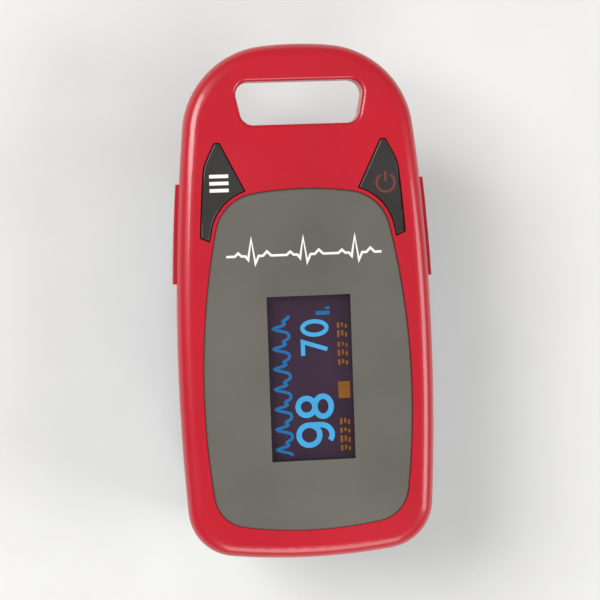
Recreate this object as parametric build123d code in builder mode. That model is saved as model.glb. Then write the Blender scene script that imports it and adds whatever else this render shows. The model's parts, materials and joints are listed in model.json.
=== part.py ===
"""Fingertip pulse oximeter: a spring clip of two halves around a finger tunnel.

Frame: +X to the right of the display, +Y to the lanyard end, +Z up through the display.
The origin is the centre of the clip's bounding box, on the face that it rests on.
All sizes are in millimetres.
"""

from build123d import *

import math
import os

os.makedirs("parts", exist_ok=True)

# ---------------------------------------------------------------- driving dimensions
body_length = 74.0  # lanyard end to finger end
body_width = 36.7  # across the shell, without the ears
body_height = 28.0  # rest face to the top of the face plate
overshoot = 5.0  # how far cutting tools run past what they cut
cut_margin = 1.0  # the same, where there is less room
straight_enough = 1e-5  # an edge that bows less than this is a straight line
smooth_turn = 8.0  # degrees; an outline that turns less than this runs on smoothly

# Plan outline: four shallow arcs with rounded corners
rear_corner_inset = 2.95  # rear corners, inside the half width
rear_arc_rise = 2.6  # how far the rear arc bows out
rear_round = 13.0
front_corner_inset = 1.05
front_arc_rise = 1.7
front_round = 7.0
belly_from_rear = 40.0  # where the sides are widest, from the lanyard end

# Parting line and shells
parting_z = 19.0
parting_gap = 0.3  # between the two rims at rest
shell_inset = 0.75  # both silver shells stand this far inside the red cover
cover_wall = 1.6
cover_roof = 1.45
cover_band = 3.35  # height of the red band along the sides
plate_proud = 0.15  # the face plate stands this far above the cover
cover_edge_round = 2.2
front_droop = 0.55  # the roof falls this far at the finger end
front_droop_length = 9.0
rear_droop = 1.65  # and this far at the lanyard end
rear_droop_length = 21.0

# Lanyard loop
loop_drop = 1.5  # the loop is thicker than the band by this
slot_width = 19.0
slot_narrow_width = 16.4
slot_depth = 6.2
slot_from_rear = 5.4
slot_round = 1.9
slot_shift = 0.2
edge_margin = 0.5  # picks an edge by its place, allowing for the bow of the surface
loop_edge_round = 0.6

# Ears over the hinge
ear_rear_from_rear = 19.6
ear_front_from_rear = 33.8
ear_proud = 0.5
ear_gap = 0.3  # between an ear and the silver shells
ear_drop = 5.0  # lowest point of an ear under the band
ear_start_drop = 0.5
ear_front_lip = 0.1  # flat at the front of an ear, above its lowest point
ear_bow = 0.66  # part of the drop reached halfway along
ear_top_margin = 0.15

# Face plate
plate_thickness = 1.0
plate_rear_from_rear = 20.8
plate_front_margin = 4.4
plate_width = 29.8
plate_rear_width = 22.8
plate_front_width = 26.8
plate_rear_rise = 1.4
plate_front_rise = 1.6
plate_rear_round = 6.5
plate_front_round = 5.0
plate_belly_from_rear = 50.0
plate_gap = 0.1
plate_edge = 0.2

# Display
window_width = 12.0
window_length = 23.6
window_shift = 0.4
window_from_rear = 36.0
window_sink = 0.1
window_gap = 0.05
oled_width = 19.3
oled_length = 26.7
oled_thickness = 1.45
oled_gap = 0.35
gasket_width = 1.6
flex_width = 9.0
flex_thickness = 0.3

# Buttons
# corners of a button: from the centre line, from the lanyard end
button_corners = ((11.5, 14.1), (7.9, 21.4), (12.6, 28.2), (17.5, 26.0), (15.4, 20.4), (12.2, 14.1))
button_side_margin = 3.25  # between a button and the side of the cover
button_plate_margin = 0.7
button_gap = 0.12
button_corner = 0.6
button_shoulder = 6.0  # radius of the blunt corner on the outer side
shoulder_place = (14.6, 17.4)  # about where that corner is
shoulder_reach = 1.5
button_edge = 0.25
button_proud = 0.15
button_flange = 0.55
button_flange_thickness = 0.35
button_rest_gap = 0.05
button_travel = 0.3
switch_size = 4.0
switch_height = 0.5
switch_x = 12.3
switch_from_rear = 19.8
plunger_radius = 0.75
plunger_gap = 0.1
plunger_engaged = 0.1

# Upper frame
frame_wall = 1.3
frame_skin = 1.0
frame_deck = 1.2
frame_rear_from_rear = 12.8
rim_edge = 0.3

# Lower hull
hull_wall = 1.6
hull_corner_round = 7.2
hull_bottom_round = 6.0
squeeze_angle = 24.0  # slope of the lower half behind the hinge
fit_gap = 0.1  # between parts that drop into each other
deck_thickness = 1.2
tray_wall = 1.1
tray_floor = 1.2

# Finger tunnel and pads
tunnel_width = 15.8
tunnel_height = 6.0
tunnel_round = 2.9
tunnel_centre_z = 17.7
tunnel_end_from_rear = 33.6
tunnel_end_round = 2.8
pad_width = 19.0
pad_end = 1.6
pad_front_margin = 1.5
pad_skin = 1.15
pad_rim_gap = 0.2
sensor_from_rear = 47.0  # where the light crosses the tunnel

# Hinge
hinge_from_rear = 28.0
hinge_z = 19.6
pin_radius = 1.0
pin_length = 30.6
pin_clearance = 0.05
knuckle_radius = 2.3
inner_knuckle = (10.2, 13.0)
outer_knuckle_start = 13.4
outer_knuckle_margin = 0.75  # from its end to the inside of the hull where that is widest
knuckle_gap = 0.35
hinge_bay_front = 2.9  # room ahead of the pin and behind it
hinge_bay_rear = 3.3
bay_half_width = 9.5

# Torsion spring
spring_inner_radius = 1.35
spring_wire = 0.8
spring_coil_length = 9.2
spring_gap = 0.15  # between a leg and the floor of its pocket
spring_leg_length = 6.5
upper_leg_x = 4.2

# Hinge cable
wire_radius = 0.35
wire_places = (7.0, 7.9, 8.8)
wire_bend = 1.2
wire_from_pin = (0.4, 2.0)  # ahead of the pin, low down and beside it
wire_heights = (1.6, 4.2)  # above the lower board, where it bends

# Cells and contacts
cell_radius = 5.25
cell_length = 44.5
cell_nub_radius = 1.9
cell_nub_length = 0.8
cell_gap = 0.2  # between a cell and what is beside it
cell_lift = 0.15  # above the door
contact_thickness = 0.4
contact_spring_room = 4.4
contact_spring_radius = 3.2
bay_wall = 1.8
bay_front_margin = 5.8

# Battery door
door_thickness = 1.35
door_margin = 0.7  # the door is wider than the pair of cells by this on each side
door_curl = 4.5  # its rear end curls up to this height
door_gap = 0.15
door_tongue_width = 3.2
door_tongue_thickness = 0.6
door_tongue_reach = 1.6
door_tongue_root = 0.8
door_groove = (10.0, 0.8)
door_groove_depth = 0.35
door_groove_count = 5
door_groove_pitch = 1.8
door_groove_from_front = 8.0

# Boards and what they carry
board_thickness = 1.0
board_margin = 3.4
board_rear_from_rear = 14.4
lower_board_thickness = 0.6
chip_height = 0.85
lower_board_x = (-3.5, 9.2)
lower_board_ahead = 3.0  # it starts this far ahead of the light sensor
buzzer_radius = 4.2
buzzer_from_rear = 58.0
emitter_size = (4.4, 3.4)
emitter_post = 0.5  # the two legs that join it to the board
optic_window_size = (5.4, 4.4)
diode_height = 0.4

# Screws
screw_radius = 0.9
screw_head_radius = 1.6
screw_head_height = 1.2
screw_clearance = 0.1
cross_width = 0.4
boss_wall = 0.9
front_screw = (12.6, 67.0)
rear_screw = (5.2, 17.2)
lower_screw_x = 13.85
lower_screw_from_rear = (38.0, 58.0)
lower_screw_seat = 4.0
lower_post_top = 9.0
lower_screw_length = 9.0
upper_screw_length = 5.0

# ---------------------------------------------------------------- derived places
rear_y = body_length / 2
front_y = -body_length / 2
half_width = body_width / 2
outer_knuckle_end = half_width - shell_inset - hull_wall - outer_knuckle_margin
outer_knuckle = (outer_knuckle_start, outer_knuckle_end)
cover_top = body_height - plate_proud
roof_bottom = cover_top - cover_roof
band_bottom = cover_top - cover_band
loop_bottom = band_bottom - loop_drop
upper_rim = parting_z + parting_gap / 2
lower_rim = parting_z - parting_gap / 2
tunnel_floor_z = tunnel_centre_z - tunnel_height / 2
tunnel_roof_z = tunnel_centre_z + tunnel_height / 2
lower_pad_bottom = tunnel_floor_z - pad_skin
upper_pad_top = tunnel_roof_z + pad_skin
skin_bottom = upper_pad_top + fit_gap
skin_top = skin_bottom + frame_skin
tray_bottom = lower_pad_bottom - tray_floor
plunger_bottom = roof_bottom - button_rest_gap - button_flange_thickness
board_top = plunger_bottom - button_travel - switch_height - fit_gap
board_bottom = board_top - board_thickness
plate_bottom = body_height - plate_thickness
cell_z = door_thickness + cell_lift + cell_radius
cell_x = cell_radius + cell_gap / 2
bay_front = front_y + bay_front_margin
bay_rear = bay_front + cell_length + contact_spring_room + 2 * contact_thickness + cell_gap
bay_half = 2 * cell_radius + cell_gap / 2 + cell_gap
bay_top = tray_bottom - fit_gap
door_half = 2 * cell_radius + door_margin


def from_rear(distance):
    """Y of a place that lies this far from the lanyard end."""
    return rear_y - distance


def from_rear_point(pair):
    """A point given by its distance from the centre line and from the lanyard end."""
    return (pair[0], from_rear(pair[1]))


hinge_y = from_rear(hinge_from_rear)
frame_rear = from_rear(frame_rear_from_rear)
tunnel_end = from_rear(tunnel_end_from_rear)
pad_rear = tunnel_end + pad_end
pad_front = front_y + pad_front_margin
sensor_y = from_rear(sensor_from_rear)
window_y = from_rear(window_from_rear + window_length / 2)
slot_front = from_rear(slot_from_rear + slot_depth)
bay_y = (hinge_y - hinge_bay_front, hinge_y + hinge_bay_rear)
pin_room = pin_length / 2 + fit_gap


# ---------------------------------------------------------------- shared outlines
def moved(outline, amount):
    """An outline moved outwards by amount, drawn again as true arcs and straight lines."""
    if amount == 0:
        return outline
    with BuildSketch() as shifted:
        add(outline)
        offset(amount=amount)
    with BuildSketch() as redrawn:
        with BuildLine():
            for edge in shifted.face().outer_wire().order_edges():
                start, middle, end = edge @ 0, edge @ 0.5, edge @ 1
                if (middle - (start + end) / 2).length < straight_enough:
                    Line(start, end)
                else:
                    ThreePointArc(start, middle, end)
        make_face()
    return redrawn.sketch


def rounded_plan(half_x, rear, rear_half, rise_rear, front, front_half, rise_front, belly, rounds):
    """Four arcs through an apex at each end and the widest point of each side."""
    with BuildSketch() as plan:
        with BuildLine():
            ThreePointArc((-rear_half, rear - rise_rear), (0, rear), (rear_half, rear - rise_rear))
            ThreePointArc(
                (rear_half, rear - rise_rear), (half_x, belly), (front_half, front + rise_front)
            )
            ThreePointArc(
                (front_half, front + rise_front), (0, front), (-front_half, front + rise_front)
            )
            ThreePointArc(
                (-front_half, front + rise_front), (-half_x, belly), (-rear_half, rear - rise_rear)
            )
        make_face()
        fillet(plan.vertices().sort_by(Axis.Y)[:2], rounds[1])
        fillet(plan.vertices().sort_by(Axis.Y)[-2:], rounds[0])
    return plan.sketch


def sharp_corners(outline):
    """Vertices where an outline turns, without those where it runs on smoothly."""
    edges = outline.face().outer_wire().order_edges()
    turns = [
        after @ 0
        for before, after in zip(edges, edges[1:] + edges[:1])
        if (before % 1).get_angle(after % 0) > smooth_turn
    ]
    return [
        vertex
        for vertex in outline.vertices()
        if min((Vector(*vertex) - turn).length for turn in turns) < straight_enough
    ]


def body_plan(inset, corner=front_round):
    """Outline of the whole clip seen from above, moved inwards by inset."""
    with BuildSketch() as plan:
        add(
            rounded_plan(
                half_width,
                rear_y,
                half_width - rear_corner_inset,
                rear_arc_rise,
                front_y,
                half_width - front_corner_inset,
                front_arc_rise,
                from_rear(belly_from_rear),
                (rear_round, corner),
            )
        )
    return moved(plan.sketch, -inset)


def ahead_of(limit):
    """Everything on the finger side of a line across the clip."""
    with BuildSketch() as side:
        with Locations((0, (limit + front_y - overshoot) / 2)):
            Rectangle(body_width + 4 * overshoot, limit - front_y + overshoot)
    return side.sketch


def shell_plan(inset, rear_limit, corner, rear_corner):
    """Outline of a silver shell, which stops short of the lanyard slot."""
    with BuildSketch() as plan:
        add(body_plan(shell_inset, corner + shell_inset))
        add(ahead_of(rear_limit), mode=Mode.INTERSECT)
        fillet(plan.vertices().sort_by(Axis.Y)[-2:], rear_corner)
    return moved(plan.sketch, -inset)


def plate_plan(growth):
    """Outline of the face plate, grown by growth."""
    with BuildSketch() as plan:
        add(
            rounded_plan(
                plate_width / 2,
                from_rear(plate_rear_from_rear),
                plate_rear_width / 2,
                plate_rear_rise,
                front_y + plate_front_margin,
                plate_front_width / 2,
                plate_front_rise,
                from_rear(plate_belly_from_rear),
                (plate_rear_round, plate_front_round),
            )
        )
    return moved(plan.sketch, growth)


def button_plan(growth):
    """Crescent between the face plate and the side of the cover, on the +X side."""
    with BuildSketch() as plan:
        with BuildLine():
            Polyline(*[from_rear_point(corner) for corner in button_corners], close=True)
        make_face()
        add(body_plan(button_side_margin), mode=Mode.INTERSECT)
        add(plate_plan(button_plate_margin), mode=Mode.SUBTRACT)
        shoulder = Vector(*from_rear_point(shoulder_place))
        fillet(
            plan.vertices().filter_by(lambda v: (v.center() - shoulder).length < shoulder_reach),
            button_shoulder,
        )
        fillet(sharp_corners(plan.sketch), button_corner)
    return moved(plan.sketch, growth)


def across(points, half):
    """A closed profile of (y, z) points carried across the clip, half to each side."""
    with BuildPart() as bar:
        with BuildSketch(Plane.YZ):
            with BuildLine():
                Polyline(*points, close=True)
            make_face()
        extrude(amount=half, both=True)
    return bar.part


def on_hinge(radius, low, high):
    """A round bar along the hinge axis from x = low to x = high."""
    with BuildPart() as bar:
        with BuildSketch(Plane.YZ.offset(low)):
            with Locations((hinge_y, hinge_z)):
                Circle(radius)
        extrude(amount=high - low)
    return bar.part


def block(x_range, y_range, z_range):
    """A plain block between two limits on each axis."""
    with BuildPart() as solid:
        with BuildSketch(Plane.XY.offset(z_range[0])):
            with Locations(((x_range[0] + x_range[1]) / 2, (y_range[0] + y_range[1]) / 2)):
                Rectangle(x_range[1] - x_range[0], y_range[1] - y_range[0])
        extrude(amount=z_range[1] - z_range[0])
    return solid.part


def write(part, name):
    """Label a finished piece and write it to its own file."""
    part.label = name
    export_step(part, f"parts/{name}.step")


screw_places = [
    (side * place[0], from_rear(place[1]))
    for place in (front_screw, rear_screw)
    for side in (-1, 1)
]
lower_screw_places = [
    (side * lower_screw_x, from_rear(place)) for place in lower_screw_from_rear for side in (-1, 1)
]
boss_radius = screw_radius + boss_wall
screw_hole_radius = screw_radius + screw_clearance
head_hole_radius = screw_head_radius + screw_clearance
screw_seat_z = upper_rim + screw_head_height + parting_gap
frame_boss_top = screw_seat_z + frame_skin

# ---------------------------------------------------------------- finger space
with BuildPart() as finger_space:
    with BuildSketch(Plane.XZ.offset(-tunnel_end)):
        with Locations((0, tunnel_centre_z)):
            RectangleRounded(tunnel_width, tunnel_height, tunnel_round)
    extrude(amount=tunnel_end - front_y + overshoot)
    fillet(finger_space.faces().sort_by(Axis.Y)[-1].edges(), tunnel_end_round)


def pad_form(growth):
    """Outer shape of the two finger pads together, grown by growth."""
    with BuildPart() as form:
        with BuildSketch(Plane.XZ.offset(-pad_rear - growth)):
            with Locations((0, tunnel_centre_z)):
                RectangleRounded(
                    pad_width + 2 * growth,
                    tunnel_height + 2 * (pad_skin + growth),
                    tunnel_round + pad_skin + growth,
                )
        extrude(amount=pad_rear + growth - front_y + overshoot)
    return form.part


# ---------------------------------------------------------------- top cover
with BuildPart() as cover_profile:
    with BuildSketch(Plane.YZ):
        with BuildLine():
            flat_front = (front_y + front_droop_length, cover_top)
            flat_rear = (rear_y - rear_droop_length, cover_top)
            crown = Line(flat_front, flat_rear)
            back_curve = TangentArc(flat_rear, (rear_y, cover_top - rear_droop), tangent=(1, 0))
            front_end = (front_y, cover_top - front_droop)
            front_curve = TangentArc(flat_front, front_end, tangent=(-1, 0))
            Polyline(
                back_curve @ 1,
                (rear_y + overshoot, cover_top - rear_droop),
                (rear_y + overshoot, loop_bottom),
                (front_y - overshoot, loop_bottom),
                (front_y - overshoot, cover_top - front_droop),
                front_curve @ 1,
            )
        make_face()
    extrude(amount=body_width, both=True)

with BuildPart() as ear_band:
    with BuildSketch(Plane.XY.offset(band_bottom - ear_drop)):
        add(body_plan(-ear_proud))
        add(body_plan(shell_inset - ear_gap), mode=Mode.SUBTRACT)
    extrude(amount=ear_drop + cover_band - cover_edge_round - ear_top_margin)
    with BuildSketch(Plane.YZ) as fin:
        ear_rear = from_rear(ear_rear_from_rear)
        ear_front = from_rear(ear_front_from_rear)
        with BuildLine():
            low_rear = (ear_rear, band_bottom - ear_start_drop)
            low_front = (ear_front, band_bottom - ear_drop + ear_front_lip)
            mid = ((ear_rear + ear_front) / 2, band_bottom - ear_bow * ear_drop)
            ThreePointArc(low_rear, mid, low_front)
            Polyline(low_front, (ear_front, cover_top), (ear_rear, cover_top), low_rear)
        make_face()
    extrude(amount=body_width, both=True, mode=Mode.INTERSECT)

with BuildPart() as top_cover:
    with BuildSketch(Plane.XY.offset(loop_bottom)):
        add(body_plan(0))
    extrude(amount=body_height - loop_bottom)
    add(cover_profile.part, mode=Mode.INTERSECT)
    lowest_top_edge = cover_top - rear_droop - edge_margin
    top_edges = top_cover.edges().filter_by(lambda e: e.center().Z > lowest_top_edge)
    top_edges = top_edges.filter_by(
        lambda e: max(abs(e.center().X), abs(e.center().Y) - body_length / 2 + 2 * edge_margin)
        > edge_margin
    )
    fillet(top_edges, cover_edge_round)
    with BuildSketch(Plane.XY.offset(loop_bottom - overshoot)):
        add(ahead_of(frame_rear + fit_gap))
    extrude(amount=band_bottom - loop_bottom + overshoot, mode=Mode.SUBTRACT)
    with BuildSketch(Plane.XY.offset(band_bottom)):
        add(body_plan(cover_wall))
        add(ahead_of(slot_front - cover_wall), mode=Mode.INTERSECT)
    extrude(amount=roof_bottom - band_bottom, mode=Mode.SUBTRACT)
    with BuildSketch(Plane.XY.offset(loop_bottom - overshoot)) as slot:
        slot_rear = from_rear(slot_from_rear)
        with BuildLine():
            Polyline(
                (slot_shift - slot_width / 2, slot_rear),
                (slot_shift + slot_width / 2, slot_rear),
                (slot_shift + slot_narrow_width / 2, slot_rear - slot_depth),
                (slot_shift - slot_narrow_width / 2, slot_rear - slot_depth),
                close=True,
            )
        make_face()
        fillet(slot.vertices(), slot_round)
    extrude(amount=body_height, mode=Mode.SUBTRACT)
    slot_box = slot.sketch.bounding_box()
    slot_rims = top_cover.edges().filter_by(
        lambda e: slot_box.min.Y - edge_margin < e.center().Y < slot_box.max.Y + edge_margin
        and slot_box.min.X - edge_margin < e.center().X < slot_box.max.X + edge_margin
        and (e.center().Z > band_bottom or e.center().Z < loop_bottom + edge_margin)
    )
    fillet(slot_rims, loop_edge_round)
    with BuildSketch(Plane.XY.offset(plate_bottom)):
        add(plate_plan(plate_gap))
    extrude(amount=plate_thickness, mode=Mode.SUBTRACT)
    with BuildSketch(Plane.XY.offset(roof_bottom)):
        with Locations((window_shift, window_y)):
            Rectangle(oled_width + 2 * oled_gap, oled_length + 2 * oled_gap)
    extrude(amount=cover_roof, mode=Mode.SUBTRACT)
    with BuildSketch(Plane.XY.offset(roof_bottom)) as holes:
        add(button_plan(button_gap))
        mirror(about=Plane.YZ)
    extrude(amount=cover_roof + overshoot, mode=Mode.SUBTRACT)
    with BuildSketch(Plane.XY.offset(frame_boss_top)):
        with Locations(*screw_places):
            Circle(boss_radius)
    extrude(amount=roof_bottom - frame_boss_top)
    with BuildSketch(Plane.XY.offset(frame_boss_top)):
        with Locations(*screw_places):
            Circle(screw_radius)
    extrude(amount=roof_bottom - frame_boss_top - fit_gap, mode=Mode.SUBTRACT)
    add(ear_band.part)
write(top_cover.part, "top_cover")

# ---------------------------------------------------------------- face plate and display
with BuildPart() as face_plate:
    with BuildSketch(Plane.XY.offset(plate_bottom)):
        add(plate_plan(0))
    extrude(amount=plate_thickness)
    chamfer(face_plate.faces().sort_by(Axis.Z)[-1].edges(), plate_edge)
    with BuildSketch(Plane.XY.offset(plate_bottom)):
        with Locations((window_shift, window_y)):
            Rectangle(window_width, window_length)
    extrude(amount=plate_thickness, mode=Mode.SUBTRACT)
write(face_plate.part, "face_plate")

with BuildPart() as display_window:
    with BuildSketch(Plane.XY.offset(plate_bottom)):
        with Locations((window_shift, window_y)):
            Rectangle(window_width - 2 * window_gap, window_length - 2 * window_gap)
    extrude(amount=plate_thickness - window_sink)
write(display_window.part, "display_window")

with BuildPart() as oled_panel:
    with BuildSketch(Plane.XY.offset(board_top)):
        with Locations((window_shift, window_y)):
            Rectangle(oled_width, oled_length)
    extrude(amount=oled_thickness)
write(oled_panel.part, "oled_panel")

with BuildPart() as display_gasket:
    with BuildSketch(Plane.XY.offset(board_top + oled_thickness)):
        with Locations((window_shift, window_y)):
            Rectangle(window_width + 2 * gasket_width, window_length + 2 * gasket_width)
            Rectangle(window_width, window_length, mode=Mode.SUBTRACT)
    extrude(amount=plate_bottom - board_top - oled_thickness)
write(display_gasket.part, "display_gasket")

flex_y = window_y - oled_length / 2
flex_run = oled_thickness
flex_height = 2 * oled_thickness / 3
with BuildPart() as oled_flex:
    with BuildSketch(Plane.YZ.offset(window_shift)):
        with BuildLine():
            Polyline(
                (flex_y, board_top + flex_height),
                (flex_y - flex_run, board_top + flex_height),
                (flex_y - 2 * flex_run, board_top + flex_thickness),
                (flex_y - 3 * flex_run, board_top + flex_thickness),
                (flex_y - 3 * flex_run, board_top),
                (flex_y - 2 * flex_run - flex_thickness, board_top),
                (flex_y - flex_run - flex_thickness, board_top + flex_height - flex_thickness),
                (flex_y, board_top + flex_height - flex_thickness),
                close=True,
            )
        make_face()
    extrude(amount=flex_width / 2, both=True)
write(oled_flex.part, "oled_flex")


# ---------------------------------------------------------------- upper frame and pad
def pad_pocket(growth):
    """Plan of the pocket that a finger pad drops into."""
    low = front_y - overshoot
    high = pad_rear + fit_gap + growth
    with BuildSketch() as plan:
        with Locations((0, (low + high) / 2)):
            Rectangle(pad_width + 2 * (fit_gap + growth), high - low)
    return plan.sketch


with BuildPart() as upper_frame:
    with BuildSketch(Plane.XY.offset(upper_rim)):
        add(shell_plan(0, frame_rear, front_round, rear_corner_inset))
    extrude(amount=band_bottom - upper_rim)
    chamfer(upper_frame.faces().sort_by(Axis.Z)[0].edges(), rim_edge)
    with BuildSketch(Plane.XY.offset(skin_top)):
        add(shell_plan(frame_wall, frame_rear, front_round, rear_corner_inset))
    extrude(amount=band_bottom - skin_top, mode=Mode.SUBTRACT)
    with BuildSketch(Plane.XY.offset(upper_rim + frame_deck)):
        add(shell_plan(frame_wall, frame_rear, front_round, rear_corner_inset))
        add(pad_pocket(frame_wall), mode=Mode.SUBTRACT)
        with Locations((0, (bay_y[0] + frame_rear) / 2)):
            Rectangle(
                2 * outer_knuckle[1], frame_rear - bay_y[0] + 2 * frame_wall, mode=Mode.SUBTRACT
            )
    extrude(amount=skin_top - upper_rim - frame_deck, mode=Mode.SUBTRACT)
    add(pad_form(fit_gap), mode=Mode.SUBTRACT)
    # hinge bay, and the hollow behind it for the legs of the spring
    add(
        block((-bay_half_width, bay_half_width), bay_y, (upper_rim - overshoot, skin_bottom)),
        mode=Mode.SUBTRACT,
    )
    add(
        block(
            (-bay_half_width, bay_half_width),
            (bay_y[1] - cut_margin, frame_rear - 2 * frame_wall - rear_corner_inset),
            (upper_rim + frame_deck, skin_bottom),
        ),
        mode=Mode.SUBTRACT,
    )
    add(
        block(
            (-upper_leg_x - cut_margin, upper_leg_x + cut_margin),
            (bay_y[1] - cut_margin, hinge_y + spring_leg_length + 2 * knuckle_gap),
            (upper_rim - overshoot, skin_bottom),
        ),
        mode=Mode.SUBTRACT,
    )
    for side in (-1, 1):
        inner = sorted((side * bay_half_width, side * outer_knuckle[0]))
        add(block(inner, bay_y, (upper_rim - overshoot, skin_top)), mode=Mode.SUBTRACT)
        outer = sorted((side * outer_knuckle[0], side * outer_knuckle[1]))
        add(on_hinge(knuckle_radius, *outer))
    add(on_hinge(pin_radius + pin_clearance, -pin_room, pin_room), mode=Mode.SUBTRACT)
    # bosses around the screws
    with BuildSketch(Plane.XY.offset(upper_rim)):
        with Locations(*screw_places):
            Circle(head_hole_radius + boss_wall)
    extrude(amount=frame_boss_top - upper_rim)
    with BuildSketch(Plane.XY.offset(frame_boss_top)):
        with Locations(*screw_places):
            Circle(boss_radius + fit_gap)
    extrude(amount=skin_top, mode=Mode.SUBTRACT)
    with BuildSketch(Plane.XY.offset(upper_rim - cut_margin)):
        with Locations(*screw_places):
            Circle(head_hole_radius)
    extrude(amount=screw_seat_z - upper_rim + cut_margin, mode=Mode.SUBTRACT)
    with BuildSketch(Plane.XY.offset(upper_rim)):
        with Locations(*screw_places):
            Circle(screw_hole_radius)
    extrude(amount=skin_top, mode=Mode.SUBTRACT)
    # the light emitter looks down through the skin, and the hinge cable comes up through it
    add(
        block(
            (-emitter_size[0] / 2 - fit_gap, emitter_size[0] / 2 + fit_gap),
            (sensor_y - emitter_size[1] / 2 - fit_gap, sensor_y + emitter_size[1] / 2 + fit_gap),
            (skin_bottom - cut_margin, skin_top + cut_margin),
        ),
        mode=Mode.SUBTRACT,
    )
    add(
        block(
            (wire_places[0] - 2 * wire_radius, wire_places[-1] + 2 * wire_radius),
            (bay_y[0], hinge_y - pin_radius),
            (skin_bottom - cut_margin, skin_top + cut_margin),
        ),
        mode=Mode.SUBTRACT,
    )
write(upper_frame.part, "upper_frame")


def finger_pad(low_z, high_z):
    """A soft pad that fills its pocket and is hollowed by the finger space."""
    with BuildPart() as pad:
        add(pad_form(0))
        add(
            block((-pad_width, pad_width), (pad_front, pad_rear), (low_z, high_z)),
            mode=Mode.INTERSECT,
        )
        add(finger_space.part, mode=Mode.SUBTRACT)
        with BuildSketch(Plane.XY.offset(low_z)):
            with Locations((0, sensor_y)):
                Rectangle(*optic_window_size)
        extrude(amount=high_z - low_z, mode=Mode.SUBTRACT)
    return pad.part


write(finger_pad(upper_rim + pad_rim_gap, upper_pad_top), "upper_pad")
write(finger_pad(lower_pad_bottom, lower_rim - pad_rim_gap), "lower_pad")


def optic_window(low_z, high_z):
    """A small clear window that closes the hole in a pad."""
    half_x = optic_window_size[0] / 2 - window_gap
    half_y = optic_window_size[1] / 2 - window_gap
    return block((-half_x, half_x), (sensor_y - half_y, sensor_y + half_y), (low_z, high_z))


write(optic_window(tunnel_roof_z, upper_pad_top), "emitter_window")
write(optic_window(lower_pad_bottom, tunnel_floor_z), "sensor_window")

emitter_half = (emitter_size[0] / 2, emitter_size[1] / 2)
emitter_span = (sensor_y - emitter_half[1], sensor_y + emitter_half[1])
with BuildPart() as light_emitter:
    add(block((-emitter_half[0], emitter_half[0]), emitter_span, (upper_pad_top, skin_top)))
    with BuildSketch(Plane.XY.offset(skin_top)):
        with GridLocations(emitter_half[0], 0, 2, 1):
            with Locations((0, sensor_y)):
                Rectangle(emitter_post, emitter_post)
    extrude(amount=board_bottom - skin_top)
write(light_emitter.part, "light_emitter")

# ---------------------------------------------------------------- main board
board_rear = from_rear(board_rear_from_rear)
board_front = from_rear(front_screw[1]) + boss_radius + pad_rim_gap
with BuildPart() as main_board:
    with BuildSketch(Plane.XY.offset(board_bottom)):
        add(body_plan(board_margin))
        add(ahead_of(board_rear), mode=Mode.INTERSECT)
        add(ahead_of(board_front), mode=Mode.SUBTRACT)
        with Locations(*screw_places):
            Circle(boss_radius + pad_rim_gap, mode=Mode.SUBTRACT)
    extrude(amount=board_thickness)
write(main_board.part, "main_board")

chips = (
    # name of the chip, centre, size
    ("processor", (-7.5, sensor_from_rear - 4), (6.0, 6.0)),
    ("light front end", (6.5, sensor_from_rear - 1), (4.0, 4.0)),
    ("voltage converter", (8.5, sensor_from_rear + 9), (3.0, 3.0)),
    ("crystal", (-9.5, sensor_from_rear + 5), (3.2, 1.6)),
)
with BuildPart() as board_chips:
    for chip_name, centre, size in chips:
        with BuildSketch(Plane.XY.offset(board_bottom - chip_height)):
            with Locations(from_rear_point(centre)):
                Rectangle(*size)
        extrude(amount=chip_height)
write(board_chips.part, "board_chips")

motion_size = 3.0
motion_place = (10.0, 24.0)
with BuildPart() as motion_sensor:
    with BuildSketch(Plane.XY.offset(board_bottom - chip_height)):
        with Locations(from_rear_point(motion_place)):
            Rectangle(motion_size, motion_size)
    extrude(amount=chip_height)
write(motion_sensor.part, "motion_sensor")

with BuildPart() as buzzer:
    with BuildSketch(Plane.XY.offset(skin_top + window_gap)):
        with Locations((0, from_rear(buzzer_from_rear))):
            Circle(buzzer_radius)
    extrude(amount=board_bottom - skin_top - window_gap)
    fillet(buzzer.faces().sort_by(Axis.Z)[0].edges(), pad_rim_gap)
write(buzzer.part, "buzzer")


# ---------------------------------------------------------------- buttons and their switches
flange_top = roof_bottom - button_rest_gap
flange_bottom = flange_top - button_flange_thickness
switch_y = from_rear(switch_from_rear)
plunger_bottom = board_top + switch_height - plunger_engaged


def make_button(side):
    """Cap with a flange under the roof. side is +1 on the right and -1 on the left."""
    with BuildPart() as cap:
        with BuildSketch(Plane.XY.offset(flange_bottom)):
            add(button_plan(button_flange))
        extrude(amount=button_flange_thickness)
        with BuildSketch(Plane.XY.offset(flange_top)):
            add(button_plan(0))
        extrude(amount=cover_top + button_proud - flange_top)
        fillet(cap.faces().sort_by(Axis.Z)[-1].edges(), button_edge)
        if side < 0:
            mirror(about=Plane.YZ, mode=Mode.REPLACE)
    return cap.part


def make_switch(side):
    """Low switch body with a well that its plunger slides in."""
    with BuildPart() as body:
        with BuildSketch(Plane.XY.offset(board_top)):
            with Locations((side * switch_x, switch_y)):
                RectangleRounded(switch_size, switch_size, button_corner)
        extrude(amount=switch_height)
        with BuildSketch(Plane.XY.offset(board_top + plunger_gap / 2)):
            with Locations((side * switch_x, switch_y)):
                Circle(plunger_radius + plunger_gap)
        extrude(amount=switch_height, mode=Mode.SUBTRACT)
    return body.part


def make_plunger(side):
    """Plunger of a switch, which stays against the underside of its button."""
    with BuildPart() as plunger:
        with BuildSketch(Plane.XY.offset(plunger_bottom)):
            with Locations((side * switch_x, switch_y)):
                Circle(plunger_radius)
        extrude(amount=flange_bottom - plunger_bottom)
    return plunger.part


for side, button_name in ((-1, "mode"), (1, "power")):
    write(make_button(side), f"{button_name}_button")
    write(make_switch(side), f"{button_name}_switch")
    write(make_plunger(side), f"{button_name}_plunger")


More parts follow.
